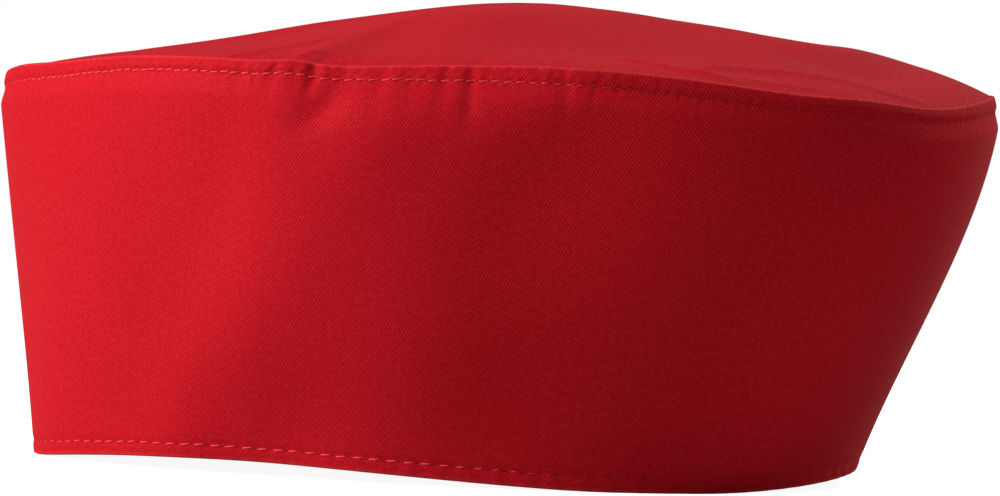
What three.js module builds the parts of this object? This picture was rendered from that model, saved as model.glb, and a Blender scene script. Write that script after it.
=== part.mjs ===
// A low chef's skull cap of cotton twill: a tall side band sewn to a domed oval crown.
// Millimetres, +Z up. The rim rests on z = 0, the front of the cap is at -X and its back at +X.
// Angles are degrees round the cap, seen from above: 0 at the back, 90 at the right side of the wearer's
// head, 180 at the front, 270 at the left side.

import * as THREE from "three";
import { ParametricGeometry } from "three/addons/geometries/ParametricGeometry.js";

const { degToRad, euclideanModulo, lerp, smoothstep } = THREE.MathUtils;

// Cloth and sewing
const CLOTH = 1.0; // one layer of twill
const SEWN_GAP = 0.3; // clear space between the two sewn pieces
const HEM_HEIGHT = 8; // bottom edge turned up inside
const ALLOWANCE = 6; // seam allowances turned down inside the top
const STITCH_DROP = 3.8; // topstitching below the top edge
const STRIP_INSET = 1.2; // how far the topstitching draws the top strip in
const PUFF_DROP = 6; // distance below the topstitching at which the band is full again

// Main sizes
const BAND_HEIGHT = 90.3; // rim to top edge at the sides, before the waves of the seam
const BACK_LIFT = 1.3; // top edge higher at the back and lower at the front
const BACK_BELLY = 4.1; // how far the leaning back wall bulges, most at two thirds of its height
const CROWN_RISE = 20.7; // dome above the seam
const TIP_X = 10; // tip of the dome, behind the middle of the seam
const CROWN_SINK = 0.2; // crown edge below the band's top edge
const DOME_TIP = 0.15; // share of the radius over which the tip of the dome is rounded
const DOME_TENT = 0.8; // share of the rise that falls off evenly; the rest falls at the seam
const DOME_SHOULDER = 8; // power of the fall at the seam

// Plan ovals, seen from above; taper widens the back and narrows the front
const RIM = { centreX: -9.3, halfLength: 98.3, halfWidth: 78.7, front: 2.0, back: 2.1, taper: 0.18 };
const SEAM = { centreX: 0, halfLength: 117.8, halfWidth: 95.4, front: 2.0, back: 2.8, taper: 0.07 };

// Waves of the top edge: rise in mm at an angle, fading over a spread in degrees
const SEAM_WAVES = [
  { at: "left front", angle: 224, rise: 2.2, spread: 20 },
  { at: "left pucker", angle: 250, rise: -0.4, spread: 6 },
  { at: "left side", angle: 271, rise: 0.8, spread: 13 },
  { at: "left back", angle: 311, rise: -5.5, spread: 19 },
  { at: "back end", angle: 346, rise: 0.7, spread: 15 },
  { at: "right back", angle: 42, rise: -3.8, spread: 24 },
  { at: "right side", angle: 92, rise: 1.0, spread: 14 },
  { at: "right front", angle: 136, rise: 1.8, spread: 20 },
];

// Folds of the band: each runs from an angle at the rim to one at the seam and pushes the wall out or in
const BAND_FOLDS = [
  { at: "left front facet", rimAngle: 183, seamAngle: 204.5, rimPush: -1.9, seamPush: -2.5, spread: 17 },
  { at: "left front corner", rimAngle: 233, seamAngle: 260, rimPush: 4.1, seamPush: 5.4, spread: 10.3 },
  { at: "left front ridge", rimAngle: 235, seamAngle: 240, rimPush: -3.1, seamPush: 4.0, spread: 10.6 },
  { at: "left side", rimAngle: 245, seamAngle: 274.5, rimPush: -1.0, seamPush: 2.8, spread: 8.3 },
  { at: "left back", rimAngle: 284, seamAngle: 282, rimPush: 0.4, seamPush: 2.5, spread: 14 },
  { at: "right front facet", rimAngle: 160, seamAngle: 150, rimPush: -1.4, seamPush: -2.2, spread: 16 },
  { at: "right front corner", rimAngle: 127, seamAngle: 100, rimPush: 2.8, seamPush: 4.4, spread: 12 },
  { at: "right front ridge", rimAngle: 125, seamAngle: 120, rimPush: -2.0, seamPush: 2.8, spread: 12 },
  { at: "right side", rimAngle: 115, seamAngle: 86, rimPush: -0.8, seamPush: 2.2, spread: 10 },
  { at: "right back", rimAngle: 76, seamAngle: 78, rimPush: 0.4, seamPush: 2.0, spread: 15 },
];

// Swells of the band: each pushes the wall out or in round an angle and a height
const BAND_SWELLS = [
  { at: "left roll under the seam", angle: 261, up: BAND_HEIGHT, push: -4.9, spread: 15.7, rise: 8.8 },
  { at: "left belly", angle: 261, up: 32.5, push: 5.4, spread: 14, rise: 25.5 },
  { at: "left front swell", angle: 245, up: 76, push: 1.1, spread: 4.3, rise: 23 },
  { at: "right roll under the seam", angle: 99, up: BAND_HEIGHT, push: -4.2, spread: 18, rise: 9 },
  { at: "right belly", angle: 99, up: 32.5, push: 4.4, spread: 17, rise: 26 },
];

// Folds of the crown: soft creases between two shares of the radius, raised or sunk by push
const CROWN_FOLDS = [
  { at: "front sag", angle: 190, push: -2.8, spread: 50, inner: 0.1, outer: 1.1 },
  { at: "front ridge", angle: 214.5, push: 1.15, spread: 6.4, inner: 0.06, outer: 1.08 },
  { at: "left front furrow", angle: 228.5, push: -1.9, spread: 21, inner: 0.48, outer: 1.1 },
  { at: "left swell", angle: 257.5, push: 2.3, spread: 19.5, inner: 0.16, outer: 0.89 },
  { at: "left furrow", angle: 279, push: -2.7, spread: 18, inner: 0.42, outer: 1.1 },
  { at: "left upper swell", angle: 301.5, push: 1.0, spread: 32, inner: 0.11, outer: 0.54 },
  { at: "left back ridge", angle: 322, push: 3.7, spread: 14, inner: 0.3, outer: 0.87 },
  { at: "left back furrow", angle: 323, push: -2.4, spread: 18, inner: 0.32, outer: 1.03 },
  { at: "back ridge", angle: 335.5, push: 1.5, spread: 17.5, inner: 0.53, outer: 0.85 },
  { at: "back sag", angle: 345, push: -0.6, spread: 45, inner: 0.1, outer: 1.1 },
  { at: "back swell", angle: 352, push: 2.0, spread: 24, inner: 0.5, outer: 1.08 },
  { at: "right back ridge", angle: 40, push: 1.2, spread: 16, inner: 0.3, outer: 0.9 },
  { at: "right furrow", angle: 82, push: -1.6, spread: 17, inner: 0.45, outer: 1.1 },
  { at: "right swell", angle: 104, push: 1.2, spread: 16, inner: 0.2, outer: 0.95 },
  { at: "right front furrow", angle: 133, push: -1.8, spread: 20, inner: 0.45, outer: 1.1 },
];

// Brings share squared times (1 - share) to 1 at its peak, two thirds of the way up
const BELLY_SCALE = 27 / 4;

// Degrees to either side of a place, for the direction of an outline there
const LOOK_ROUND = 0.5;

// Mesh steps
const ROUND_STEPS = 96;
const WALL_STEPS = 9;
const DOME_STEPS = 12;

// Fades from 1 at a distance of 0 to nothing a few spreads away
function bell(away, spread) {
  return Math.exp(-((away / spread) ** 2));
}

// The same fade round the cap, the short way from the given angle
function bump(angle, centre, spread) {
  return bell(euclideanModulo(angle - centre + 180, 360) - 180, spread);
}

// A superellipse whose front and back halves have their own powers
function ovalPoint(oval, angle) {
  const c = Math.cos(degToRad(angle));
  const s = Math.sin(degToRad(angle));
  const power = c < 0 ? oval.front : oval.back;
  const reach = (Math.abs(c) ** power + Math.abs(s) ** power) ** (-1 / power);
  const wide = oval.halfWidth * (1 + oval.taper * c);
  return new THREE.Vector2(oval.centreX + oval.halfLength * c * reach, wide * s * reach);
}

// The band's outside at a share of its height: rim oval to seam oval, with belly, folds and swells
function bandOutline(share, angle) {
  const rim = ovalPoint(RIM, angle);
  const seam = ovalPoint(SEAM, angle);
  const outward = new THREE.Vector2(Math.cos(degToRad(angle)), Math.sin(degToRad(angle)));
  let push = (BACK_BELLY * BELLY_SCALE * share ** 2 * (1 - share) * (1 + outward.x)) / 2;
  for (const fold of BAND_FOLDS) {
    const centre = lerp(fold.rimAngle, fold.seamAngle, share);
    push += lerp(fold.rimPush, fold.seamPush, share) * bump(angle, centre, fold.spread);
  }
  for (const swell of BAND_SWELLS) {
    const near = bell(share * BAND_HEIGHT - swell.up, swell.rise);
    push += swell.push * near * bump(angle, swell.angle, swell.spread);
  }
  return rim.lerp(seam, share).addScaledVector(outward, push);
}

// The same outline moved inwards, square to itself
function insetOutline(share, angle, inset) {
  const ahead = bandOutline(share, angle + LOOK_ROUND);
  const along = ahead.sub(bandOutline(share, angle - LOOK_ROUND)).normalize();
  const inward = new THREE.Vector2(-along.y, along.x);
  return bandOutline(share, angle).addScaledVector(inward, inset);
}

function seamHeight(angle) {
  const plain = BAND_HEIGHT + BACK_LIFT * Math.cos(degToRad(angle));
  return SEAM_WAVES.reduce((z, wave) => z + wave.rise * bump(angle, wave.angle, wave.spread), plain);
}

// A point of the band's wall, from a height on the unwaved band and an inset from its outside
function wallPoint(up, inset, angle, target) {
  const share = up / BAND_HEIGHT;
  const plan = insetOutline(share, angle, inset);
  return target.set(plan.x, plan.y, share * seamHeight(angle));
}

// Sweeps a walk of rows clockwise round the cap, so that the faces point out of the cloth;
// place(row, angle, target) gives each point
function sweep(rows, place) {
  const surface = (u, v, target) => place(rows[Math.round(u * (rows.length - 1))], -360 * v, target);
  return new ParametricGeometry(surface, rows.length - 1, ROUND_STEPS);
}

// The band's wall as a closed walk: outside upwards, over the top edge, inside downwards
function bandRows() {
  const stitchLine = BAND_HEIGHT - STITCH_DROP;
  const puff = stitchLine - PUFF_DROP;
  const allowanceEnd = BAND_HEIGHT - ALLOWANCE;
  const folded = STRIP_INSET + 2 * CLOTH;
  const outside = [{ up: 0, inset: 0 }, { up: HEM_HEIGHT, inset: 0 }];
  const inside = [{ up: HEM_HEIGHT + CLOTH, inset: CLOTH }];
  for (let i = 1; i <= WALL_STEPS; i++) {
    const up = lerp(HEM_HEIGHT, puff, i / WALL_STEPS);
    outside.push({ up, inset: 0 });
    inside.unshift({ up, inset: CLOTH });
  }
  inside.unshift({ up: allowanceEnd - CLOTH, inset: CLOTH + STRIP_INSET / 2 });
  return [
    ...outside,
    { up: stitchLine, inset: STRIP_INSET },
    { up: BAND_HEIGHT - CLOTH, inset: STRIP_INSET },
    { up: BAND_HEIGHT, inset: STRIP_INSET + CLOTH / 2 },
    { up: BAND_HEIGHT, inset: folded - CLOTH / 2 },
    { up: BAND_HEIGHT - CLOTH, inset: folded },
    { up: allowanceEnd, inset: folded },
    ...inside,
    { up: HEM_HEIGHT, inset: 2 * CLOTH },
    { up: 0, inset: 2 * CLOTH },
    outside[0],
  ];
}

// Height of the dome above the crown's edge at a share of the radius
function domeRise(radius) {
  const tent = (Math.hypot(radius, DOME_TIP) - DOME_TIP) / (Math.hypot(1, DOME_TIP) - DOME_TIP);
  return CROWN_RISE * (1 - DOME_TENT * tent - (1 - DOME_TENT) * radius ** DOME_SHOULDER);
}

function crownFold(radius, angle) {
  let push = 0;
  for (const fold of CROWN_FOLDS) {
    const middle = (fold.inner + fold.outer) / 2;
    const along = smoothstep(radius, fold.inner, middle) * (1 - smoothstep(radius, middle, fold.outer));
    push += fold.push * along * bump(angle, fold.angle, fold.spread);
  }
  return push;
}

// A point of the crown: its edge oval shrunk towards the middle, lifted by the dome and its folds
function domePoint(radius, sunk, inset, angle, target) {
  const edge = insetOutline(1, angle, inset);
  const edgeZ = lerp(BAND_HEIGHT, seamHeight(angle), radius ** 2) - CROWN_SINK;
  const z = edgeZ + domeRise(radius) + crownFold(radius, angle) - sunk;
  return target.set(lerp(TIP_X, edge.x, radius), edge.y * radius, z);
}

// The crown as a walk from its middle underneath, down inside the turned allowance, up and back on top
function crownRows() {
  const outer = STRIP_INSET + 2 * CLOTH + SEWN_GAP;
  const inner = outer + CLOTH;
  const underneath = [];
  const onTop = [];
  for (let i = 0; i <= DOME_STEPS; i++) {
    const radius = i / DOME_STEPS;
    underneath.push({ radius, sunk: CLOTH, inset: inner + CLOTH / 2 });
    onTop.unshift({ radius, sunk: 0, inset: outer + CLOTH / 2 });
  }
  return [
    ...underneath,
    { up: BAND_HEIGHT - 3 * CLOTH, inset: inner },
    { up: BAND_HEIGHT - ALLOWANCE, inset: inner },
    { up: BAND_HEIGHT - ALLOWANCE, inset: outer },
    { up: BAND_HEIGHT - 2 * CLOTH, inset: outer },
    ...onTop,
  ];
}

function placeBand(row, angle, target) {
  return wallPoint(row.up, row.inset, angle, target);
}

function placeCrown(row, angle, target) {
  return row.up === undefined
    ? domePoint(row.radius, row.sunk, row.inset, angle, target)
    : wallPoint(row.up, row.inset, angle, target);
}

function clothPiece(name, geometry) {
  const twill = new THREE.MeshStandardMaterial({ color: 0xc0182a, roughness: 0.85, metalness: 0 });
  const piece = new THREE.Mesh(geometry, twill);
  piece.name = name;
  return piece;
}

const band = clothPiece("band", sweep(bandRows(), placeBand));
const crown = clothPiece("crown", sweep(crownRows(), placeCrown));

// The cap stands on the middle of its own box
const cap = new THREE.Group().add(band, crown);
const middle = new THREE.Box3().setFromObject(cap).getCenter(new THREE.Vector3());
cap.children.forEach((piece) => piece.position.set(-middle.x, -middle.y, 0));

export default cap;
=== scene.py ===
# %% [markdown]
# # A low chef's skull cap in red twill
# The cap is two pieces of cloth. A tall band is sewn into a ring with its bottom edge turned up as a hem,
# and an oval crown is sewn into its top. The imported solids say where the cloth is; here the same cloth is
# made again with its puckers, its weave and its stitching.

# %% The frame
from collections import namedtuple

import bmesh
import bpy
import numpy as np
from mathutils import Matrix, Vector


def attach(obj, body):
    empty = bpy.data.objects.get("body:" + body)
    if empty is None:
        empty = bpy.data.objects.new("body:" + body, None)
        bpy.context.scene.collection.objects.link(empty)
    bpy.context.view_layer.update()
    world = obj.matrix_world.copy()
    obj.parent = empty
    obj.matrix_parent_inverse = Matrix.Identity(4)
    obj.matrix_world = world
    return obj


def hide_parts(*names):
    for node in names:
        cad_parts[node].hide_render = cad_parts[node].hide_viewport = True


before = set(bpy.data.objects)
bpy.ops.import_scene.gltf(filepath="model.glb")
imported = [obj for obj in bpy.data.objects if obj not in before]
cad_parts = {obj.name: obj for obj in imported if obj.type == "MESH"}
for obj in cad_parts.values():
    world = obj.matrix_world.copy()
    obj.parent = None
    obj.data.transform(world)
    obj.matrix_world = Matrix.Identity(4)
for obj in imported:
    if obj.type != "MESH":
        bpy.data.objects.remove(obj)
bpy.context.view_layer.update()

# %% [markdown]
# ## The camera
# The picture was taken with a long lens, almost level with the middle of the cap and a little rolled. The
# camera looks level, so upright things stay upright, and its roll is set through its own axes. A short lens
# close up would fill the frame as well, but from there the edge of the band would hide the crown.

# %% Camera
MM = 0.001
VIEW_AZIMUTH = -3.44
VIEW_HEIGHT = 52.1
VIEW_DISTANCE = 872.4
VIEW_ROLL = 2.18
LENS = 131.85
SENSOR = 36
FRAME_SHIFT = 0.0116

turn = np.radians(VIEW_AZIMUTH)
roll = np.radians(VIEW_ROLL)
level_right = np.array([np.cos(turn), np.sin(turn), 0.0])
upright = np.array([0.0, 0.0, 1.0])
towards = np.array([np.sin(turn), -np.cos(turn), 0.0])
camera_right = level_right * np.cos(roll) + upright * np.sin(roll)
camera_up = upright * np.cos(roll) - level_right * np.sin(roll)
camera_place = (towards * VIEW_DISTANCE + upright * VIEW_HEIGHT) * MM

lens_data = bpy.data.cameras.new("photo_view")
lens_data.lens = LENS
lens_data.sensor_width = SENSOR
lens_data.shift_x = FRAME_SHIFT
lens_data.clip_start = 0.01
camera = bpy.data.objects.new("photo_view", lens_data)
bpy.context.collection.objects.link(camera)
axes = Matrix([camera_right, camera_up, towards]).transposed()
camera.matrix_world = Matrix.Translation(camera_place) @ axes.to_4x4()
bpy.context.scene.camera = camera
print("camera at", [round(float(c), 3) for c in camera.location])

# %% [markdown]
# ## The sizes of the cap
# All sizes below are millimetres, with the rim on z = 0 and the front of the cap at -X. Angles are degrees
# round the cap seen from above: 0 at the back, 90 at the wearer's right, 180 at the front, 270 at the left.
# A shape like this could be sculpted, but named sizes can be changed later and give the same cap each time.

# %% Sizes
CLOTH = 0.55  # one layer of twill
BAND_HEIGHT = 90.3
BACK_LIFT = 1.3  # the top edge is this much higher at the back and lower at the front
BACK_BELLY = 4.1
HEM_HEIGHT = 8.0
ALLOWANCE = 6.0
STRIP_WIDTH = 3.8  # from the top edge to the topstitching
SEAM_STITCH_UP = BAND_HEIGHT - STRIP_WIDTH
HEM_STITCH_UP = 3.2
SEAM_PITCH = 2.65
HEM_PITCH = 3.8

Oval = namedtuple("Oval", "centre_x half_length half_width front back taper")
RIM = Oval(-9.3, 98.3, 78.7, 2.0, 2.1, 0.18)
SEAM = Oval(0.0, 117.8, 95.4, 2.0, 2.8, 0.07)
print("band", BAND_HEIGHT, "mm high, seam", 2 * SEAM.half_length, "mm long")

# %% [markdown]
# ## The folds of the band
# Cloth that has been worn and packed keeps soft folds. Each one is a row of a table: where it is, how far
# it pushes the cloth, and how wide it is. A brush could push them in too, but a table can be read, and
# each row can be changed by hand.

# %% Waves of the two edges
Spot = namedtuple("Spot", "at angle amount spread")
SEAM_WAVES = [
    Spot("left front", 224, 2.2, 20),
    Spot("before the left pucker", 246, 0.75, 2.6),
    Spot("left pucker", 250, -0.4, 6),
    Spot("left side", 271, 0.8, 13),
    Spot("left back edge", 307, 1.35, 7),
    Spot("left back", 311, -5.5, 19),
    Spot("back end", 346, 0.7, 15),
    Spot("right back", 42, -3.8, 24),
    Spot("right side", 92, 1.0, 14),
    Spot("right front", 136, 1.8, 20),
]
FRONT_CURL = [Spot("front edge", 195, 1.1, 12)]  # in the edge alone: the crown behind it stays low
Lift = namedtuple("Lift", "at angle rise reach")
HEM_LIFTS = [
    Lift("left front", 239, 3.1, 52),
    Lift("back", 352, 3.3, 50),
    Lift("right front", 121, 2.4, 50),
]
print("waves of the seam:", len(SEAM_WAVES), "and lifts of the hem:", len(HEM_LIFTS))

# %% Folds and swells of the band
Fold = namedtuple("Fold", "at rim_angle seam_angle rim_push seam_push spread")
BAND_FOLDS = [
    Fold("left front facet", 183, 204.5, -1.9, -2.5, 17),
    Fold("left front corner", 233, 260, 4.1, 5.4, 10.3),
    Fold("left front ridge", 235, 240, -3.1, 4.0, 10.6),
    Fold("left side", 245, 274.5, -1.0, 2.8, 8.3),
    Fold("left back", 284, 282, 0.4, 2.5, 14),
    Fold("right front facet", 160, 150, -1.4, -2.2, 16),
    Fold("right front corner", 127, 100, 2.8, 4.4, 12),
    Fold("right front ridge", 125, 120, -2.0, 2.8, 12),
    Fold("right side", 115, 86, -0.8, 2.2, 10),
    Fold("right back", 76, 78, 0.4, 2.0, 15),
]
Swell = namedtuple("Swell", "at angle up push spread rise")
BAND_SWELLS = [
    Swell("left roll under the seam", 261, BAND_HEIGHT, -4.9, 15.7, 8.8),
    Swell("left belly", 261, 32.5, 5.4, 14, 25.5),
    Swell("left front swell", 245, 76, 1.1, 4.3, 23),
    Swell("right roll under the seam", 99, BAND_HEIGHT, -4.2, 18, 9),
    Swell("right belly", 99, 32.5, 4.4, 17, 26),
]
print("folds:", len(BAND_FOLDS), "and swells:", len(BAND_SWELLS))

# %% [markdown]
# ## The plan of the cap
# Seen from above, the rim and the seam are ovals that are a little squarer than an ellipse, so each is a
# superellipse with its own powers at the front and the back. The wall between them is a blend of the two,
# pushed out or in by the folds that run up the band.

# %% Plan
PLAN_STEP = 0.5  # degrees either way, to find how the plan runs


def bell(away, spread):
    """A bell curve: 1 at no distance, fading as the square of the distance over the spread grows."""
    return np.exp(-((away / spread) ** 2))


def short_way(angle, centre):
    """The angle from a centre, the short way round."""
    return (angle - centre + 180) % 360 - 180


def bump(angle, centre, spread):
    """A bell curve of the angle between a place and a centre."""
    return bell(short_way(angle, centre), spread)


def add_spots(base, angle, spots):
    """A base value plus each spot's amount times its bell round the cap."""
    for spot in spots:
        base = base + spot.amount * bump(angle, spot.angle, spot.spread)
    return base


def oval_plan(oval, angle):
    """Superellipse: cosine and sine stretched until their powers add up to 1, times the half sizes."""
    c = np.cos(np.radians(angle))
    s = np.sin(np.radians(angle))
    power = np.where(c < 0, oval.front, oval.back)
    reach = (np.abs(c) ** power + np.abs(s) ** power) ** (-1 / power)
    x = oval.centre_x + oval.half_length * c * reach
    y = oval.half_width * (1 + oval.taper * c) * s * reach
    return np.stack([x, y], -1)


def belly(share, forward):
    """Share squared times what is left, scaled to 1 at its peak; full at the back, none at the front."""
    return BACK_BELLY * 27 / 4 * share**2 * (1 - share) * (1 + forward) / 2


def band_plan(share, angle):
    """Rim oval blended into seam oval by the share of the height, pushed outwards by belly and folds."""
    share, angle = np.broadcast_arrays(share, angle)
    outward = np.stack([np.cos(np.radians(angle)), np.sin(np.radians(angle))], -1)
    push = belly(share, outward[..., 0])
    for fold in BAND_FOLDS:
        centre = fold.rim_angle + (fold.seam_angle - fold.rim_angle) * share
        height = fold.rim_push + (fold.seam_push - fold.rim_push) * share
        push = push + height * bump(angle, centre, fold.spread)
    for swell in BAND_SWELLS:
        near = bell(share * BAND_HEIGHT - swell.up, swell.rise)
        push = push + swell.push * near * bump(angle, swell.angle, swell.spread)
    rim = oval_plan(RIM, angle)
    seam = oval_plan(SEAM, angle)
    return rim + (seam - rim) * share[..., None] + outward * push[..., None]


def inset_plan(share, angle, inset):
    """The same plan moved inwards, square to its own direction, by the inset."""
    along = band_plan(share, angle + PLAN_STEP) - band_plan(share, angle - PLAN_STEP)
    along = along / np.linalg.norm(along, axis=-1, keepdims=True)
    inward = np.stack([-along[..., 1], along[..., 0]], -1)
    return band_plan(share, angle) + inward * np.broadcast_to(inset, inward.shape[:-1])[..., None]


print("front and back of the seam:", band_plan(1.0, np.array([180.0, 0.0]))[:, 0].round(1), "mm")


# %% Heights of the edges
def front_curl(angle):
    """How far the front of the top edge stands up."""
    return add_spots(0.0, angle, FRONT_CURL)


def seam_height(angle):
    """Height of the top edge: even tilt from front to back, plus the curl at the front and the waves."""
    tilted = BAND_HEIGHT + BACK_LIFT * np.cos(np.radians(angle))
    return add_spots(tilted + front_curl(angle), angle, SEAM_WAVES)


def hem_height(angle):
    """Height of the bottom edge: flat on the table, with a rounded rise within reach of each lift."""
    height = np.zeros(np.shape(angle))
    for lift in HEM_LIFTS:
        away = short_way(angle, lift.angle) / lift.reach
        height = height + lift.rise * np.clip(1 - away**2, 0, None) ** 2
    return height


whole_turn = np.linspace(0, 360, 3601)  # in tenths of a degree


def arc_lengths(share):
    """Length along the plan at a share of the height, added up round the whole turn."""
    ring = band_plan(share, whole_turn)
    steps = np.linalg.norm(np.diff(ring, axis=0), axis=-1)
    return np.concatenate([[0.0], np.cumsum(steps)])


seam_arc = arc_lengths(1.0)
rim_arc = arc_lengths(0.0)
middle_arc = arc_lengths(0.5)
outer = band_plan(np.linspace(0, 1, 60)[:, None], whole_turn[None, :]).reshape(-1, 2)
plan_middle = (outer.min(0) + outer.max(0)) / 2
print("seam", round(seam_arc[-1]), "mm round, rim", round(rim_arc[-1]), "mm round")

# %% [markdown]
# ## Puckers
# Where a longer edge is sewn to a shorter one, the cloth gathers into small dents that start at the seam
# and fade down the band. A cloth simulation would make some too, but not in chosen places. Each dent here
# is a row of a table, or one of many small ones placed by a seeded random generator, so that it is the
# same at each run.

# %% Puckers
Pucker = namedtuple("Pucker", "angle depth width length lean")
MAIN_PUCKERS = [
    Pucker(219.2, 0.35, 2.0, 8, 0.10),
    Pucker(240.4, 0.40, 1.8, 8, -0.10),
    Pucker(244.4, 0.40, 1.8, 8, -0.15),
    Pucker(248.3, 1.00, 1.5, 5.5, 0.00),
    Pucker(251.8, 0.35, 1.3, 6, 0.00),
    Pucker(255.5, 0.35, 1.8, 9, 0.05),
    Pucker(258.8, 0.35, 1.7, 8, 0.05),
    Pucker(262.4, 0.35, 1.6, 8, 0.00),
    Pucker(264.9, 0.60, 1.6, 9, 0.10),
    Pucker(274.0, 0.35, 2.2, 9, 0.20),
]
SMALL_COUNT = 220
SMALL_STRAY = (0, 0.9)  # of the even step from one to the next
SMALL_DEPTH = (0.08, 0.26)
SMALL_WIDTH = (0.7, 1.5)
SMALL_LENGTH = (3, 9)
SMALL_LEAN = (-0.3, 0.3)
EVEN_GATHERING = 0.45
GATHERING = [
    Spot("left front", 242, 0.75, 28),
    Spot("right side", 120, 0.4, 40),
    Spot("left back", 305, -0.3, 20),
]


def gathering(angle):
    """How much cloth is gathered into the seam: most at the front of both sides, least at the left back."""
    return add_spots(EVEN_GATHERING, angle, GATHERING)


chance = np.random.default_rng(11)
small_share = (np.arange(SMALL_COUNT) + chance.uniform(*SMALL_STRAY, SMALL_COUNT)) / SMALL_COUNT
small_angle = np.interp(small_share, seam_arc / seam_arc[-1], whole_turn)
small_depth = chance.uniform(*SMALL_DEPTH, SMALL_COUNT) * gathering(small_angle)
small_width = chance.uniform(*SMALL_WIDTH, SMALL_COUNT)
small_length = chance.uniform(*SMALL_LENGTH, SMALL_COUNT)
small_lean = chance.uniform(*SMALL_LEAN, SMALL_COUNT)
small_rows = zip(small_angle, small_depth, small_width, small_length, small_lean)
PUCKERS = MAIN_PUCKERS + [Pucker(*row) for row in small_rows]
print("puckers:", len(PUCKERS))

# %% Shape of the puckers
PUCKER_FLARE = 30  # a pucker is twice as wide this far below the edge
PUCKER_RIDGE = 0.9


def arc_at(angle, ring_arc):
    """Length along a ring up to an angle."""
    return np.interp(angle % 360, whole_turn, ring_arc)


def seam_puckers(angle, drop):
    """Sum of dents: a bell across each with a low ridge at both sides, fading with the drop."""
    arc = arc_at(angle, seam_arc)
    half_round = seam_arc[-1] / 2
    dent = np.zeros(np.broadcast(angle, drop).shape)
    for pucker in PUCKERS:
        away = arc - arc_at(pucker.angle, seam_arc) - pucker.lean * drop
        away = (away + half_round) % seam_arc[-1] - half_round
        across = away / (pucker.width * (1 + drop / PUCKER_FLARE))
        ridged = (1 - PUCKER_RIDGE * across**2) * bell(across, 1)
        dent = dent - pucker.depth * ridged * bell(drop, pucker.length)
    return dent


print("deepest pucker:", max(pucker.depth for pucker in PUCKERS), "mm")

# %% [markdown]
# ## The relief of the band
# On top of its folds the band has shallow dents from handling, a strip that puffs out between the top edge
# and the stitching, a groove along each row of stitches and a slightly roped hem. A painted bump map could
# show them, but not in the outline. All of it is one function of the angle and the height, in millimetres
# outwards, so that the wall, its inside and the stitches share it.

# %% Dents and the strip
Dent = namedtuple("Dent", "at angle up push spread rise lean")
SOFT_DENTS = [
    Dent("below the pucker", 250.1, 80, -1.0, 2.0, 4.6, 0.30),
    Dent("below the second pucker", 265.2, 81, -0.2, 1.0, 4.0, 0.0),
    Dent("hem hollow", 238, 11, -0.9, 5.0, 10, 0.0),
    Dent("strip hollow", 277, 80, -0.4, 5.0, 7, 0.0),
]
STRIP_INSET = 1.2  # how far the topstitching draws the strip above it in
FULL_AGAIN = 4.5  # the band is full again this far below the topstitching
STRIP_LEAN = 0.2  # millimetres inwards for each one up, above the topstitching
STRIP_PUFF = 0.22
PUFF_DROP = 2.6  # from the top edge to the middle of the puff
PUFF_WIDTH = 1.2
STRIP_PUCKER = 0.75  # share of their depth that the puckers have on the strip


def soft_dents(angle, up):
    """Sum of bells round each dent; a leaning dent moves round the cap as it goes up."""
    out = 0.0
    for dent in SOFT_DENTS:
        centre = dent.angle + dent.lean * (up - dent.up)
        out = out + dent.push * bell(up - dent.up, dent.rise) * bump(angle, centre, dent.spread)
    return out


def smooth_step(value, low, high):
    """0 below the low value, 1 above the high one, with a smooth ramp between."""
    t = np.clip((value - low) / (high - low), 0, 1)
    return t * t * (3 - 2 * t)


def strip_inset(up):
    """Nothing on the wall, then a smooth step inwards to the stitching."""
    return STRIP_INSET * smooth_step(up, SEAM_STITCH_UP - FULL_AGAIN, SEAM_STITCH_UP)


def strip_relief(up):
    """A puff between the edge and the stitching, less the lean of the strip."""
    puff = STRIP_PUFF * bell(up - BAND_HEIGHT + PUFF_DROP, PUFF_WIDTH)
    return puff - STRIP_LEAN * np.clip(up - SEAM_STITCH_UP, 0, None)


print("dents:", len(SOFT_DENTS))

# %% Relief along the stitches
GROOVE_WIDTH = 0.7
SEAM_GROOVE, SEAM_RIPPLE = 0.30, 0.10
HEM_GROOVE, HEM_RIPPLE = 0.26, 0.08
ROPE = 0.10
ROPE_UP = 1.5
ROPE_WIDTH = 2.2
ROPES_PER_STITCH = 0.61
ROPE_LEAN = 1.1  # radians of the wave for each millimetre up
PILLOW = 0.10
PILLOW_DROP = 2.2
PILLOW_WIDTH = 1.5
PILLOW_LEAN = 1.9
PILLOW_SHARE = (0.1, 1.6)
PILLOW_SHIFT = (-1.1, 1.1)
seam_count = round(seam_arc[-1] / SEAM_PITCH)
pillow_share = chance.uniform(*PILLOW_SHARE, seam_count)
pillow_shift = chance.uniform(*PILLOW_SHIFT, seam_count)


def stitch_pillows(angle, up):
    """A wave on the strip with one swell a stitch, leaning with the twill, of uneven strength and place."""
    stitches = arc_at(angle, seam_arc) / SEAM_PITCH
    share = np.interp(stitches, np.arange(seam_count), pillow_share)
    shift = np.interp(stitches, np.arange(seam_count), pillow_shift)
    swell = np.cos(2 * np.pi * stitches - PILLOW_LEAN * (up - SEAM_STITCH_UP) + np.pi + shift)
    near = bell(up - BAND_HEIGHT + PILLOW_DROP, PILLOW_WIDTH)
    return PILLOW * share * swell * near * gathering(angle)


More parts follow.
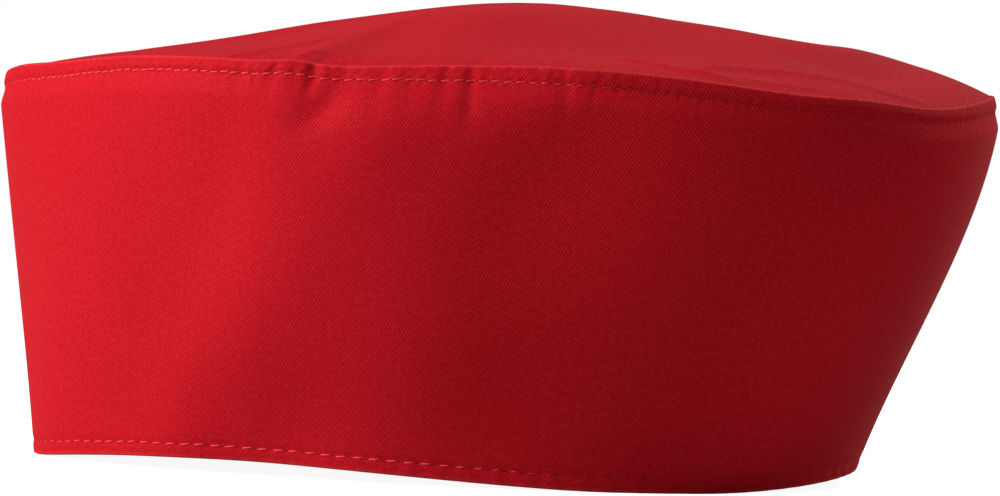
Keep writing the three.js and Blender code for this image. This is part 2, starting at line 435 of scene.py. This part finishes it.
def sewn_relief(angle, up):
    """Pillows and roping, less a rippled groove along each row of stitches."""
    seam_turns = 2 * np.pi * arc_at(angle, seam_arc) / SEAM_PITCH
    hem_turns = 2 * np.pi * arc_at(angle, rim_arc) / HEM_PITCH
    seam_groove = bell(up - SEAM_STITCH_UP, GROOVE_WIDTH) * (SEAM_GROOVE + SEAM_RIPPLE * np.cos(seam_turns))
    hem_groove = bell(up - HEM_STITCH_UP, GROOVE_WIDTH) * (HEM_GROOVE + HEM_RIPPLE * np.cos(hem_turns))
    roping = bell(up - ROPE_UP, ROPE_WIDTH) * np.sin(hem_turns * ROPES_PER_STITCH + up * ROPE_LEAN)
    return stitch_pillows(angle, up) + ROPE * roping - seam_groove - hem_groove


print("stitches along the seam:", seam_count)

# %% The wall
STITCH_RISES = [
    Spot("left front", 240, 0.7, 30),
    Spot("left back", 311, 1.0, 13),
]
RISE_REACH = 2.2


def band_relief(angle, up):
    """Puckers, dents, the strip's own relief and the relief of the sewing, added up."""
    drop = BAND_HEIGHT - up
    puckers = seam_puckers(angle, drop) * np.where(drop < STRIP_WIDTH, STRIP_PUCKER, 1.0)
    return puckers + soft_dents(angle, up) + strip_relief(up) + sewn_relief(angle, up)


def wall(angle, up, inset):
    """A place in metres: plan at the share of the height, moved in by inset less relief.
    z blends hem to seam, and the row of stitches wanders up by its rises."""
    share = np.clip(up / BAND_HEIGHT, 0, None)
    plan = inset_plan(share, angle, inset - band_relief(angle, up)) - plan_middle
    low = hem_height(angle)
    wander = add_spots(0.0, angle, STITCH_RISES) * bell(up - SEAM_STITCH_UP, RISE_REACH)
    z = np.broadcast_to(low + share * (seam_height(angle) - low) + wander, plan.shape[:-1])
    return np.concatenate([plan, z[..., None]], -1) * MM


print("rows of stitches", HEM_STITCH_UP, "mm and", SEAM_STITCH_UP, "mm up")

# %% [markdown]
# ## From a grid to a mesh
# Each piece is a grid of points: rows along its profile and columns round the cap. Faces are index
# arithmetic on the whole grid, and the flat size of the cloth goes into the UV map in metres, so that the
# weave keeps its true scale.

# %% Grid to mesh
SAME_PLACE = 1e-7


def placed_mesh(name, points, faces, maps, turn_out):
    """Points, faces and one flat place a face corner, as an object with its doubles merged."""
    mesh = bpy.data.meshes.new(name)
    mesh.from_pydata(points.reshape(-1, 3), [], faces.reshape(-1, 4))
    for layer, uv in maps.items():
        mesh.uv_layers.new(name=layer).data.foreach_set("uv", uv.ravel().astype(np.float32))
    merged = bmesh.new()
    merged.from_mesh(mesh)
    bmesh.ops.remove_doubles(merged, verts=merged.verts, dist=SAME_PLACE)
    if turn_out:
        bmesh.ops.recalc_face_normals(merged, faces=merged.faces)
    merged.to_mesh(mesh)
    merged.free()
    mesh.shade_smooth()
    piece = bpy.data.objects.new(name, mesh)
    bpy.context.collection.objects.link(piece)
    print(name, "has", len(mesh.polygons), "faces")
    return piece


def grid_piece(name, points, maps, close_profile):
    """Quads between neighbouring rows and columns, round the cap; the profile closes on itself if asked."""
    rows, columns = points.shape[:2]
    last = rows if close_profile else rows - 1
    r, c = np.meshgrid(np.arange(last), np.arange(columns), indexing="ij")
    corners = [(r, c), (r, c + 1), (r + 1, c + 1), (r + 1, c)]
    faces = np.stack([(i % rows) * columns + j % columns for i, j in corners], -1)
    flat = {layer: np.stack([grid[i, j] for i, j in corners], -2) for layer, grid in maps.items()}
    return placed_mesh(name, points, faces, flat, False)


def stretches(*runs):
    """Even steps from a start to an end, so many of them, one run after another."""
    return np.concatenate([np.linspace(*run) for run in runs])


def with_insets(up, inset):
    """Heights and insets side by side, as rows of a profile."""
    return np.stack(np.broadcast_arrays(up, inset), -1)


print("points closer than", SAME_PLACE, "m become one")

# %% [markdown]
# ## The band
# The band is one closed walk over its cloth: up the outside, over the folded top edge, down the turned
# allowance and the inside, and back under the hem. A sheet with a Solidify modifier would be quicker, but
# it couldn't turn the edges over. Rows lie close together where the relief is fine.

# %% Profile of the band
FOLD_PAST = 0.85  # radians that the folded edge goes on beyond a half turn
RAW_EDGE = 0.2  # step at a cut edge
ALLOWANCE_FROM = 88.5  # just below the folded edge

outside_up = stretches((0.25, 7.5, 11), (9.5, 71, 17), (72.5, 88.9, 27))
outside = with_insets(outside_up, strip_inset(outside_up))
edge = np.linspace(-FOLD_PAST, np.pi + FOLD_PAST, 7)[1:-1]
folded_up = BAND_HEIGHT - CLOTH + CLOTH * np.sin(edge)
folded_edge = with_insets(folded_up, STRIP_INSET + CLOTH - CLOTH * np.cos(edge))
allowance_up = np.linspace(ALLOWANCE_FROM, BAND_HEIGHT - ALLOWANCE, 4)
allowance = with_insets(allowance_up, STRIP_INSET + 2 * CLOTH)
inside_up = np.linspace(BAND_HEIGHT - ALLOWANCE - RAW_EDGE, HEM_HEIGHT + RAW_EDGE, 9)
inside = with_insets(inside_up, strip_inset(inside_up) + CLOTH)
hem = with_insets(np.array([HEM_HEIGHT, 5.5, 3.2, 0.4]), 2 * CLOTH)
rim_fold = np.array([[0.08, 1.6 * CLOTH], [0.0, CLOTH], [0.06, 0.35 * CLOTH]])
walk = np.concatenate([outside, folded_edge, allowance, inside, hem, rim_fold])
steps = np.abs(np.diff(walk, axis=0, append=walk[:1])).sum(-1)
along_walk = np.concatenate([[0.0], np.cumsum(steps)]) * MM
top_fold = along_walk[len(outside) + 1]
print("the walk over the band is", round(along_walk[-1] / MM), "mm long")

# %% [markdown]
# ## The flat maps of the band
# The weave needs to know where each place lies on the flat cloth. Blender's own unwrap would turn the weave
# at its cuts, so the maps are worked out with the shape. Cloth that is pulled wider at the top shears, so
# its upright threads lean one way on one half of the cap and the other way on the other. A second map
# counts the stitches along each row, so that the finish can sink the needle holes and darken them with
# painted shade. Where that map is stretched across the row, the holes look drawn shut.

# %% Band
COLUMNS = 1240
WEAVE_LEAN = 0.24  # sideways for each one up
WEAVE_LEAN_AT = 318
WEAVE_LEAN_ALL = -0.02
HOLE_CLOSING = [
    Spot("left back", 335, 4, 26),
    Spot("front", 190, 3, 16),
]
HEM_CLOSING = 2.5


def weave_lean(angle):
    """How far the upright threads lean for each one up: a wave once round the cap, and a little more."""
    return WEAVE_LEAN * np.cos(np.radians(angle - WEAVE_LEAN_AT)) + WEAVE_LEAN_ALL


def stitch_number(angle, ring_arc, pitch):
    """Stitches counted along a row up to an angle, stretched so that a whole number goes round."""
    count = round(ring_arc[-1] / pitch)
    return np.interp(angle, whole_turn, ring_arc) / ring_arc[-1] * count


turns = np.interp(np.linspace(0, 1, COLUMNS + 1), middle_arc / middle_arc[-1], whole_turn)
band_points = wall(turns[None, :-1], walk[:, :1], walk[:, 1:])
walk_up = np.append(walk[:, 0], walk[0, 0])[:, None]
flat_u = np.interp(turns, whole_turn, middle_arc) + weave_lean(turns) * (walk_up - BAND_HEIGHT / 2)
band_flat = np.stack(np.broadcast_arrays(flat_u * MM, along_walk[:, None]), -1)
near_seam = walk_up > BAND_HEIGHT / 2
seam_number = stitch_number(turns, seam_arc, SEAM_PITCH)
hem_number = stitch_number(turns, rim_arc, HEM_PITCH)
closing = np.where(near_seam, add_spots(1.0, turns, HOLE_CLOSING), HEM_CLOSING)
off_row = (walk_up - np.where(near_seam, SEAM_STITCH_UP, HEM_STITCH_UP)) * closing
band_sewing = np.stack(np.broadcast_arrays(np.where(near_seam, seam_number, hem_number), off_row), -1)
band_cloth = grid_piece("band_cloth", band_points, {"cloth": band_flat, "sewing": band_sewing}, True)

# %% [markdown]
# ## The crown
# The crown is an oval panel that stands up like a low tent, because its cut edge is eased into the band.
# Rings run from the tip to the seam, and the edge turns down inside the band. Creases are soft ridges along
# short broken lines, which is how a hand would draw them.

# %% Folds of the crown
Sag = namedtuple("Sag", "at angle push spread inner outer")
CROWN_FOLDS = [
    Sag("front sag", 190, -2.8, 50, 0.1, 1.1),
    Sag("front ridge", 214.5, 1.15, 6.4, 0.06, 1.08),
    Sag("left front furrow", 228.5, -1.9, 21, 0.48, 1.1),
    Sag("left swell", 257.5, 2.3, 19.5, 0.16, 0.89),
    Sag("left furrow", 279, -2.7, 18, 0.42, 1.1),
    Sag("left upper swell", 301.5, 1.0, 32, 0.11, 0.54),
    Sag("left back ridge", 322, 3.7, 14, 0.3, 0.87),
    Sag("left back furrow", 323, -2.4, 18, 0.32, 1.03),
    Sag("back ridge", 335.5, 1.5, 17.5, 0.53, 0.85),
    Sag("back sag", 345, -0.6, 45, 0.1, 1.1),
    Sag("back swell", 352, 2.0, 24, 0.5, 1.08),
    Sag("right back ridge", 40, 1.2, 16, 0.3, 0.9),
    Sag("right furrow", 82, -1.6, 17, 0.45, 1.1),
    Sag("right swell", 104, 1.2, 16, 0.2, 0.95),
    Sag("right front furrow", 133, -1.8, 20, 0.45, 1.1),
]
Crease = namedtuple("Crease", "at places height width")
CREASES = [
    Crease("back crease", [(43, -80), (53, -77), (61, -75), (72, -73), (81, -73), (94, -72)], 0.7, 2.0),
    Crease("side crease", [(24, -80), (31, -85), (39, -88), (47, -91)], 0.6, 1.8),
    Crease("edge crease", [(39, -88), (48, -87), (56, -86), (64, -85)], 0.35, 1.8),
    Crease("front crease", [(-66, -76), (-60, -74), (-55, -72), (-50, -68), (-42, -62)], 0.5, 2.0),
    Crease("pucker crease", [(-46, -80), (-44, -78), (-41, -76.5), (-38, -78), (-35, -81)], 0.45, 1.3),
]
print("crown folds:", len(CROWN_FOLDS), "and creases:", len(CREASES))

# %% Relief of the crown
CREASE_FADE = 0.05  # share of the radius over which the creases fade out at the seam
CROWN_PUCKER = 0.8
PUCKER_START = 3  # at the seam the puckers look as they do this far down the band
PUCKER_REACH = 95  # from the seam to the tip, as a length down the band


def crown_folds(radius, angle):
    """Each fold rises from its inner ring to its middle and falls to its outer one; round the cap it is
    a bell."""
    lift = 0.0
    for sag in CROWN_FOLDS:
        middle = (sag.inner + sag.outer) / 2
        along = smooth_step(radius, sag.inner, middle) * (1 - smooth_step(radius, middle, sag.outer))
        lift = lift + sag.push * along * bump(angle, sag.angle, sag.spread)
    return lift


def crease_relief(plan):
    """Bell-shaped ridges over the distance to the nearest piece of each broken line."""
    lift = np.zeros(plan.shape[:-1])
    for crease in CREASES:
        places = np.array(crease.places, float)
        nearest = np.full(plan.shape[:-1], np.inf)
        for start, end in zip(places[:-1], places[1:]):
            run = end - start
            t = np.clip(((plan - start) @ run) / (run @ run), 0, 1)
            nearest = np.minimum(nearest, np.linalg.norm(plan - start - t[..., None] * run, axis=-1))
        lift = lift + crease.height * bell(nearest, crease.width)
    return lift


def crown_relief(radius, angle, plan):
    """Folds, creases that fade out at the seam, and the puckers of the seam carried inwards."""
    creases = crease_relief(plan) * smooth_step(1 - radius, 0.0, CREASE_FADE)
    puckers = seam_puckers(angle, PUCKER_START + PUCKER_REACH * (1 - radius))
    return crown_folds(radius, angle) + creases + CROWN_PUCKER * puckers


print("highest fold of the crown:", max(sag.push for sag in CROWN_FOLDS), "mm")

# %% Crown
CROWN_RISE = 20.7
TIP_X = 10.0
DOME_TIP = 0.15
DOME_TENT = 0.8
DOME_SHOULDER = 8
CURL_FADE = 14
CROWN_SINK = 0.25  # the crown meets the band this far below its edge
CROWN_GAP = 0.06
CROWN_INSET = STRIP_INSET + 2 * CLOTH + CROWN_GAP
EDGE_INSET = CROWN_INSET + STRIP_LEAN * STRIP_WIDTH
CROWN_COLUMNS = 720


def dome(radius, angle, inset, sunk):
    """Edge oval shrunk to the tip, lifted by a rounded tent and by the relief, less the sinking.
    The waves of the edge fade inwards with the radius squared, and the curl at the front sooner."""
    edge_plan = inset_plan(1.0, angle, inset)
    tip = np.array([TIP_X, 0.0])
    plan = tip + (edge_plan - tip) * radius[..., None]
    tent = (np.hypot(radius, DOME_TIP) - DOME_TIP) / (np.hypot(1, DOME_TIP) - DOME_TIP)
    z = BAND_HEIGHT + (seam_height(angle) - BAND_HEIGHT) * radius**2 - CROWN_SINK - sunk
    z = z - front_curl(angle) * (radius**2 - radius**CURL_FADE)
    z = z + CROWN_RISE * (1 - DOME_TENT * tent - (1 - DOME_TENT) * radius**DOME_SHOULDER)
    z = z + crown_relief(radius, angle, plan)
    return np.concatenate([plan - plan_middle, z[..., None]], -1) * MM


crown_share = np.linspace(0, 1, CROWN_COLUMNS + 1)[:-1]
crown_around = np.interp(crown_share, seam_arc / seam_arc[-1], whole_turn)[None, :]
top_rings = stretches((0, 0.8, 41), (0.815, 1, 30))[:, None]
under_rings = stretches((1, 0.9, 6), (0.86, 0, 24))[:, None]
turned_up = BAND_HEIGHT - np.array([1.2, ALLOWANCE, ALLOWANCE, 1.6])[:, None]
turned_inset = CROWN_INSET + CLOTH * np.array([0, 0, 1, 1])[:, None]
on_top = dome(top_rings, crown_around, EDGE_INSET, 0.0)
turned = wall(crown_around, turned_up, turned_inset)
underneath = dome(under_rings, crown_around, EDGE_INSET + CLOTH, CLOTH)
crown_points = np.concatenate([on_top, turned, underneath])[::-1]
crown_flat = np.concatenate([crown_points, crown_points[:, :1]], 1)[..., :2]
crown_cloth = grid_piece("crown_cloth", crown_points, {"cloth": crown_flat}, False)

# %% [markdown]
# ## The stitches
# Each stitch is a short bulge of thread between two needle holes. Hundreds of curves would be heavy, so one
# row is one mesh: a few rings a stitch, carried along the wall and sunk into it at both ends.

# %% Stitches
EVEN_SINK = 0.03
THREAD_SINK = [
    Spot("left back", 307, 0.34, 34),
    Spot("left front", 236, -0.05, 32),
    Spot("front", 190, 0.2, 16),
]
RINGS, SIDES = 8, 6  # of the tube of one stitch
START_STRAY = 0.05
HEIGHT_STRAY = 0.08
NUDGE = 0.05  # to find which way the wall runs
ARCH_RISE, ENDS_DOWN = 1.2, 0.75  # in radii of the thread
ARCH_POWER, TUBE_POWER = 0.5, 0.4  # below 1, so that the arch and the tube are full


def thread_sink(angle):
    """How deep the thread lies in the cloth: least at the left front, most at the front and left back."""
    return add_spots(EVEN_SINK, angle, THREAD_SINK)


def unit(vectors):
    """The same directions with a length of 1."""
    return vectors / np.linalg.norm(vectors, axis=-1, keepdims=True)


def stitch_row(name, ring_arc, inset, up, pitch, thread, radius, tilt):
    """Tubes along the wall: rings round a line that arches over each stitch and narrows to its ends."""
    count = round(ring_arc[-1] / pitch)
    wander = np.random.default_rng(5)
    gap = (1 - thread / pitch) / 2
    stray = wander.uniform(-START_STRAY, START_STRAY, count)
    start = (np.arange(count) + gap + stray) / count * ring_arc[-1]
    height = up + wander.normal(0, HEIGHT_STRAY, count)
    t = np.linspace(0, 1, RINGS)
    arc = start[:, None] + t * thread
    angle = np.interp(arc % ring_arc[-1], ring_arc, whole_turn)
    ups = height[:, None] + tilt * thread * (t - 0.5)
    along = wall(angle + NUDGE, ups, inset) - wall(angle - NUDGE, ups, inset)
    climb = wall(angle, ups + NUDGE, inset) - wall(angle, ups - NUDGE, inset)
    out = unit(np.cross(along, climb))
    arch = np.sin(np.pi * t)
    lift = (radius * (ARCH_RISE * arch**ARCH_POWER - ENDS_DOWN) - thread_sink(angle))[..., None] * MM
    thick = (radius * arch**TUBE_POWER)[:, None, None] * MM
    spin = np.linspace(0, 2 * np.pi, SIDES, endpoint=False)[:, None]
    ring = np.cos(spin) * out[:, :, None, :] + np.sin(spin) * unit(climb)[:, :, None, :]
    points = (wall(angle, ups, inset) + out * lift)[:, :, None, :] + ring * thick
    n, k, r = np.meshgrid(np.arange(count), np.arange(RINGS - 1), np.arange(SIDES), indexing="ij")
    corners = [(k, r), (k, r + 1), (k + 1, r + 1), (k + 1, r)]
    faces = np.stack([(n * RINGS + i) * SIDES + j % SIDES for i, j in corners], -1)
    flat = np.stack([np.stack([n + i / RINGS, j / SIDES], -1) for i, j in corners], -2)
    print(name, "has", count, "stitches")
    return placed_mesh(name, points, faces, {"thread": flat}, True)


seam_stitches = stitch_row("seam_stitches", seam_arc, strip_inset(SEAM_STITCH_UP), up=SEAM_STITCH_UP,
                           pitch=SEAM_PITCH, thread=2.2, radius=0.19, tilt=0.14)
hem_stitches = stitch_row("hem_stitches", rim_arc, 0.0, up=HEM_STITCH_UP,
                          pitch=HEM_PITCH, thread=2.9, radius=0.17, tilt=0.11)

# %% [markdown]
# ## Shader maths in words
# A weave is waves and noise, which reads best as a formula. This small class wraps a node socket, so that
# plus, minus, times and powers add Math nodes, and any other node comes from one method.


# %% Socket maths
class Tap:
    """One output socket of a node tree, for use in Python expressions."""

    def __init__(self, tree, socket):
        self.tree = tree
        self.socket = socket

    def node(self, kind, settings, inputs, output=0):
        """Adds a node of this kind, sets it up, feeds its sockets and hands back one of its outputs."""
        made = self.tree.nodes.new(kind)
        for key, value in settings.items():
            setattr(made, key, value)
        for key, value in inputs.items():
            if isinstance(value, Tap):
                self.tree.links.new(value.socket, made.inputs[key])
            else:
                made.inputs[key].default_value = value
        return Tap(self.tree, made.outputs[output])

    def output(self, which):
        """Another output of the same node."""
        return Tap(self.tree, self.socket.node.outputs[which])

    def feed(self, shader, name):
        """Links this socket to an input of a shader."""
        self.tree.links.new(self.socket, shader.inputs[name])

    def math(self, operation, first, second=0.0):
        """Adds a Math node."""
        return self.node("ShaderNodeMath", {"operation": operation}, {0: first, 1: second})

    def __add__(self, other):
        return self.math("ADD", self, other)

    def __sub__(self, other):
        return self.math("SUBTRACT", self, other)

    def __rsub__(self, other):
        return self.math("SUBTRACT", other, self)

    def __mul__(self, other):
        return self.math("MULTIPLY", self, other)

    def __pow__(self, other):
        return self.math("POWER", self, other)

    __radd__ = __add__
    __rmul__ = __mul__

    def wave(self):
        """A smooth wave from 0 to 1, one for each whole number."""
        return self.math("SINE", self * (2 * np.pi)) * 0.5 + 0.5

    def mix(self, low, high):
        """Blends two colours by this value; a Mix node's inputs 6 and 7 and its output 2 are colours."""
        return self.node("ShaderNodeMix", {"data_type": "RGBA"}, {0: self, 6: low, 7: high}, 2)


def set_constants(shader, values):
    """Sets the inputs that are the same all over the surface."""
    for name, value in values.items():
        shader.inputs[name].default_value = value


def new_finish(name):
    """A fresh material with its shader, and a tap to grow its nodes from."""
    material = bpy.data.materials.new(name)
    material.use_nodes = True
    shader = material.node_tree.nodes["Principled BSDF"]
    return material, shader, Tap(material.node_tree, None)


# %% [markdown]
# ## Twill
# Twill shows fine slanting lines, because each weft thread passes over its neighbours one step further on.
# The lines rise to the right at about 58 degrees and lie 0.64 mm apart. An image of cloth would repeat and
# blur close up, so they are a wave of the flat place on the cloth, broken up by the weft and by uneven
# yarn. They drive the bump, and the colour, which has painted shade in the hollows between the lines. The
# tops of the threads have a weak gloss and a painted highlight, which show as dots along the lines.

# %% Twill sizes and colours
TWILL_ACROSS = 0.75 * MM
TWILL_UP = 1.21 * MM
WEFT_PITCH = 0.50 * MM
YARN_SCALE = 900.0
PATCH_SCALE = 45.0
YARN_WANDER = 0.35  # of the step from one line to the next
SLANT_POWER, SLANT_SHARE = 1.8, 0.66
WEFT_SHARE = 0.2
YARN_SHARE = 0.25
THREAD_SHADE, PATCH_SHADE = 0.75, 0.3
# the glint of the thread tops is painted into the colour as a highlight, and drives a real gloss in the
# coat
GLINT_YARN, GLINT_FROM, GLINT_GAIN = 0.35, 0.795, 2.2
GLINT_PAINTED_SHARE, GLINT_COAT = 0.5, 0.4
# painted shade: the colour in the hollows between the twill lines
TWILL_HOLLOW_SHADE = (0.455, 0.001, 0.006, 1)
TWILL_FACE = (0.565, 0.0025, 0.012, 1)
# painted highlight: the colour of glinting thread tops
TWILL_PAINTED_GLINT = (0.64, 0.045, 0.064, 1)
# a paler colour along the folded edges
FOLD_PALE_COLOUR = (0.80, 0.035, 0.045, 1)
FOLD_PALE_WIDTH = 0.5 * MM
FOLD_PALE_SHARE = 1.2
# painted shade: the colour of the needle holes
NEEDLE_HOLE_SHADE = (0.10, 0.001, 0.003, 1)
NEEDLE_HOLE = 0.27
NEEDLE_DEPTH = 3.0
TWILL_BUMP = {"Strength": 0.12, "Distance": 0.12 * MM}
TWILL_ROUGH, THREAD_SMOOTHER = 0.95, 0.15
TWILL_CONSTANTS = {
    "Coat Roughness": 0.6,
    "Specular IOR Level": 0.09,
    "Sheen Roughness": 0.3,
    "Sheen Tint": (1.0, 0.6, 0.6, 1),
}
print("twill lines", round(1 / np.hypot(1 / TWILL_ACROSS, 1 / TWILL_UP) / MM, 2), "mm apart")


# %% Twill
def flat_noise(place, scale, detail):
    """Noise over the flat cloth, with so many swells to the metre."""
    inputs = {"Vector": place, "Scale": scale, "Detail": detail}
    return place.node("ShaderNodeTexNoise", {"noise_dimensions": "2D"}, inputs)


def needle_holes(tap):
    """1 less the squared distance over the squared size of a hole, and never below 0. A hole lies at each
    whole stitch, and a pingpong of the stitch number is the way along the row to the nearest one."""
    sewing = tap.node("ShaderNodeUVMap", {"uv_map": "sewing"}, {})
    along = tap.node("ShaderNodeSeparateXYZ", {}, {0: sewing})
    off = along.output(1)
    to_hole = tap.math("PINGPONG", along, 0.5) * SEAM_PITCH
    return tap.math("MAXIMUM", 1 - (to_hole * to_hole + off * off) * (1 / NEEDLE_HOLE**2), 0.0)


def twill_finish(name, folds, sewn, sheen):
    """Slanting wave plus weft wave plus yarn noise; raised threads are brighter, with painted shade in the
    hollows, and their tops have a painted highlight and a weak gloss. Folds are paler, as a bell of the
    distance from each, and needle holes are sunk and darkened with painted shade."""
    material, shader, tap = new_finish(name)
    place = tap.node("ShaderNodeUVMap", {"uv_map": "cloth"}, {})
    across = tap.node("ShaderNodeSeparateXYZ", {}, {0: place})
    up = across.output(1)
    yarn = flat_noise(place, YARN_SCALE, detail=2.0)
    patch = flat_noise(place, PATCH_SCALE, detail=3.0)
    slant = (across * (1 / TWILL_ACROSS) - up * (1 / TWILL_UP) + yarn * YARN_WANDER).wave()
    weft = (up * (1 / WEFT_PITCH)).wave()
    thread = slant**SLANT_POWER * SLANT_SHARE + weft * WEFT_SHARE + yarn * YARN_SHARE
    shade = thread * THREAD_SHADE + patch * PATCH_SHADE
    glint = tap.math("MAXIMUM", (thread + yarn * GLINT_YARN - GLINT_FROM) * GLINT_GAIN, 0.0)
    # painted shade: the hollows between the twill lines are darker, mixed with the uneven tone of the patch
    # noise
    colour = shade.mix(TWILL_HOLLOW_SHADE, TWILL_FACE)
    # painted highlight: where the thread tops glint, the colour is mixed paler
    colour = (glint * GLINT_PAINTED_SHARE).mix(colour, TWILL_PAINTED_GLINT)
    # the colour is paler along each folded edge, in patches set by the yarn noise
    for fold in folds:
        away = (up - fold) * (1 / FOLD_PALE_WIDTH)
        fold_pale = tap.math("EXPONENT", away * away * -1.0) * yarn * FOLD_PALE_SHARE
        colour = fold_pale.mix(colour, FOLD_PALE_COLOUR)
    relief = thread
    if sewn:
        hole = needle_holes(tap)
        # painted shade: the needle holes are darkened in the colour, besides being sunk in the bump
        colour = hole.mix(colour, NEEDLE_HOLE_SHADE)
        relief = thread - hole * NEEDLE_DEPTH
    colour.feed(shader, "Base Color")
    tap.node("ShaderNodeBump", {}, {**TWILL_BUMP, "Height": relief}).feed(shader, "Normal")
    (TWILL_ROUGH - thread * THREAD_SMOOTHER).feed(shader, "Roughness")
    (glint * GLINT_COAT).feed(shader, "Coat Weight")
    set_constants(shader, {**TWILL_CONSTANTS, "Sheen Weight": sheen})
    return material


band_twill = twill_finish("red_band_twill", folds=[0.0, top_fold], sewn=True, sheen=0.03)
crown_twill = twill_finish("red_crown_twill", folds=[], sewn=False, sheen=0.018)
band_cloth.data.materials.append(band_twill)
crown_cloth.data.materials.append(crown_twill)
print("finishes:", band_twill.name, crown_twill.name)

# %% [markdown]
# ## Thread
# Sewing thread is two or three plies twisted round each other. Each ply could be a tube of its own, but at
# this size a slanting wave round one tube stands for them, with painted shade in the grooves of the twist.
# It is a little paler than the twill.

# %% Thread
# painted shade: the colour in the grooves of the twist
THREAD_GROOVE_SHADE = (0.85, 0.045, 0.048, 1)
THREAD_FACE = (1.0, 0.11, 0.10, 1)
TWISTS_ALONG, TWISTS_ROUND = 6.0, 2.0
THREAD_BUMP = {"Strength": 0.5, "Distance": 0.06 * MM}


def thread_finish(name):
    """A wave that slants along and round each stitch, in bump and in colour; the colour paints shade into
    the grooves.
    """
    material, shader, tap = new_finish(name)
    place = tap.node("ShaderNodeUVMap", {"uv_map": "thread"}, {})
    along = tap.node("ShaderNodeSeparateXYZ", {}, {0: place})
    twist = (along * TWISTS_ALONG + along.output(1) * TWISTS_ROUND).wave()
    # painted shade: the grooves of the twist are darker in the colour
    twist.mix(THREAD_GROOVE_SHADE, THREAD_FACE).feed(shader, "Base Color")
    tap.node("ShaderNodeBump", {}, {**THREAD_BUMP, "Height": twist}).feed(shader, "Normal")
    set_constants(shader, {"Roughness": 0.75, "Specular IOR Level": 0.15})
    return material


red_thread = thread_finish("red_thread")
seam_stitches.data.materials.append(red_thread)
hem_stitches.data.materials.append(red_thread)
print("finish:", red_thread.name)

# %% [markdown]
# ## The floor and the sky
# The floor is a wide pale sheet and the sky is white, as in a picture cut out on white. A clear film would
# give the same white, but no ground under the cap. Both would throw much light on the cap if they were as
# bright as they look, so the lens sees them white and the cap sees a dimmer shade of each.

# %% Floor
FLOOR_HALF = 6
FLOOR_GREY = 0.50
FLOOR_GLOW = 0.93
SKY_STRENGTH = 0.204
WHITE = (1, 1, 1, 1)


def camera_white(tree, shade, white):
    """Shows the lens a plain white and lets everything else see the dimmer shade."""
    tap = Tap(tree, None)
    seen = tap.node("ShaderNodeLightPath", {}, {}, "Is Camera Ray")
    return tap.node("ShaderNodeMixShader", {}, {0: seen, 1: shade, 2: white})


floor_corners = [(x * FLOOR_HALF, y * FLOOR_HALF, 0) for x, y in ((-1, -1), (1, -1), (1, 1), (-1, 1))]
floor_mesh = bpy.data.meshes.new("floor")
floor_mesh.from_pydata(floor_corners, [], [(0, 1, 2, 3)])
floor = bpy.data.objects.new("floor", floor_mesh)
bpy.context.collection.objects.link(floor)

floor_paint, floor_shader, floor_tap = new_finish("pale_floor")
set_constants(floor_shader, {"Base Color": (FLOOR_GREY, FLOOR_GREY, FLOOR_GREY, 1), "Roughness": 0.9})
dim = Tap(floor_tap.tree, floor_shader.outputs[0])
glow = floor_tap.node("ShaderNodeEmission", {}, {"Color": WHITE, "Strength": FLOOR_GLOW})
lit = floor_tap.node("ShaderNodeAddShader", {}, {0: dim, 1: glow})
camera_white(floor_tap.tree, dim, lit).feed(floor_tap.tree.nodes["Material Output"], 0)
floor_mesh.materials.append(floor_paint)
print("floor", 2 * FLOOR_HALF, "m wide")

# %% Sky
world = bpy.data.worlds.new("white_sky")
world.use_nodes = True
sky = world.node_tree.nodes["Background"]
set_constants(sky, {"Color": WHITE, "Strength": SKY_STRENGTH})
sky_tap = Tap(world.node_tree, sky.outputs[0])
white_sky = sky_tap.node("ShaderNodeBackground", {}, {"Color": WHITE, "Strength": 1.0})
camera_white(world.node_tree, sky_tap, white_sky).feed(world.node_tree.nodes["World Output"], 0)
bpy.context.scene.world = world
print("sky at", SKY_STRENGTH)

# %% [markdown]
# ## The lights
# A studio would use soft boxes. The cap is lit by one large soft light from its front end and a weaker one
# from behind, which lights the crown. Both are square area lights that look at the middle of the cap.

# %% Lights
KEY = dict(place=(-1.10, -0.36, 0.59), size=0.5, power=17.8)
BACK = dict(place=(0.90, 0.50, 0.95), size=0.5, power=8.6)
LIT_PLACE = Vector((0, 0, 0.05))


def soft_light(name, place, size, power):
    """A square area light, turned so that its own -Z axis points at the lit place."""
    data = bpy.data.lights.new(name, "AREA")
    data.size = size
    data.energy = power
    light = bpy.data.objects.new(name, data)
    light.location = place
    light.rotation_euler = (LIT_PLACE - Vector(place)).to_track_quat("-Z", "Y").to_euler()
    bpy.context.collection.objects.link(light)


soft_light("key_light", **KEY)
soft_light("back_light", **BACK)
bpy.context.scene.view_settings.view_transform = "Standard"
print("lights:", KEY["power"], "W and", BACK["power"], "W")

# %% [markdown]
# ## Hand over
# Each piece rides on the one body, and the two cloth pieces stand in for the two solids.

# %% Hand over
for piece in (band_cloth, crown_cloth, seam_stitches, hem_stitches):
    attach(piece, "root")
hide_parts("band")
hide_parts("crown")
